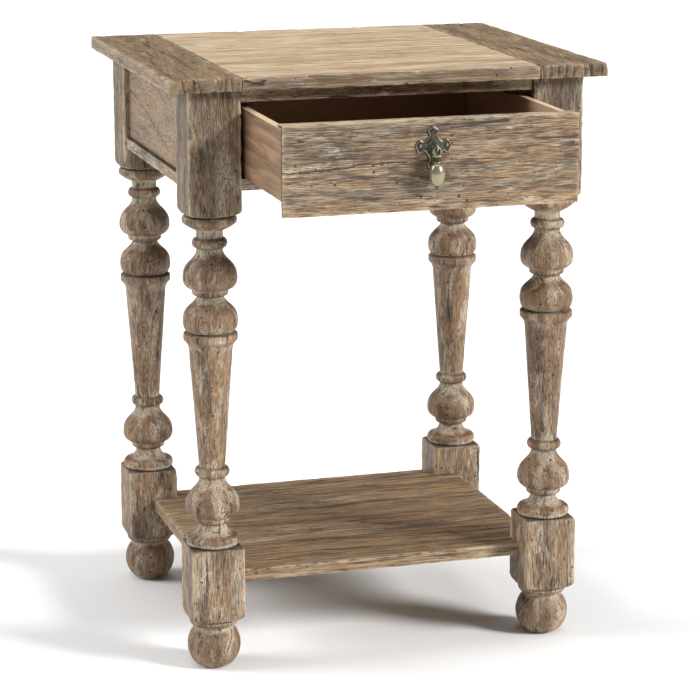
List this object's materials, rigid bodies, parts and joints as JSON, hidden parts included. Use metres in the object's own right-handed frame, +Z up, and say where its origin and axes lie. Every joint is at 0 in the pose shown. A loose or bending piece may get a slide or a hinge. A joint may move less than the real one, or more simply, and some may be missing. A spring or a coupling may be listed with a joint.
{
  "type": "side table with drawer",
  "caption": "Small turned-leg side table with a boarded top, a low shelf and a drawer with a hanging drop pull, shown with the drawer part open.",
  "frame": {"origin": "on the floor, midway from left to right, and midway between the back edge of the top and the front of the pull as the drawer stands open", "axes": "+Z up, -Y out of the drawer front, +X to the right as one faces the drawer"},
  "size_m": [0.53, 0.6028, 0.711],
  "materials": {
    "weathered_wood": "limed and worn, open pores, matte",
    "top_wood": "worn pale brown, brushed grain, matte",
    "breadboard_wood": "greyed and cracked, limed, matte",
    "drawer_front_wood": "limed and worn, open pores, matte",
    "drawer_box_wood": "smooth planed, satin",
    "secondary_wood": "stained dark, planed, matte",
    "antique_brass": "darkened in the hollows, rubbed bright on the egg",
    "screw_steel": "plain",
    "glide_plastic": "matte"
  },
  "bodies": {
    "table": {"leg_front_left": "weathered_wood", "glide_front_left": "glide_plastic", "leg_front_right": "weathered_wood", "glide_front_right": "glide_plastic", "leg_back_left": "weathered_wood", "glide_back_left": "glide_plastic", "leg_back_right": "weathered_wood", "glide_back_right": "glide_plastic", "front_top_rail": "weathered_wood", "front_bottom_rail": "weathered_wood", "back_rail": "weathered_wood", "left_rail": "weathered_wood", "right_rail": "weathered_wood", "left_panel": "weathered_wood", "right_panel": "weathered_wood", "back_panel": "weathered_wood", "shelf_board_1": "weathered_wood", "shelf_board_2": "weathered_wood", "shelf_board_3": "weathered_wood", "top_board_1": "top_wood", "top_board_2": "top_wood", "top_board_3": "top_wood", "breadboard_left": "breadboard_wood", "runner_left": "secondary_wood", "guide_left": "secondary_wood", "stop_left": "secondary_wood", "kicker_left": "secondary_wood", "screw_left_front": "screw_steel", "screw_left_back": "screw_steel", "breadboard_right": "breadboard_wood", "runner_right": "secondary_wood", "guide_right": "secondary_wood", "stop_right": "secondary_wood", "kicker_right": "secondary_wood", "screw_right_front": "screw_steel", "screw_right_back": "screw_steel"},
    "drawer": {"drawer_front": "drawer_front_wood", "drawer_side_left": "drawer_box_wood", "drawer_side_right": "drawer_box_wood", "drawer_back": "drawer_box_wood", "drawer_bottom": "drawer_box_wood", "pull_plate": "antique_brass", "pull_staple": "antique_brass", "pull_pin_left": "antique_brass", "pull_pin_right": "antique_brass"},
    "drop": {"pull_drop": "antique_brass"}
  },
  "joints": [
    {"name": "drawer_slide", "type": "slide", "parent": "table", "child": "drawer", "axis": [0, -1, 0], "range_m": [-0.155, 0.1]},
    {"name": "drop_swing", "type": "hinge", "parent": "drawer", "child": "drop", "pos_m": [0, -0.2921, 0.6463], "axis": [-1, 0, 0], "range_deg": [-3, 100]}
  ]
}
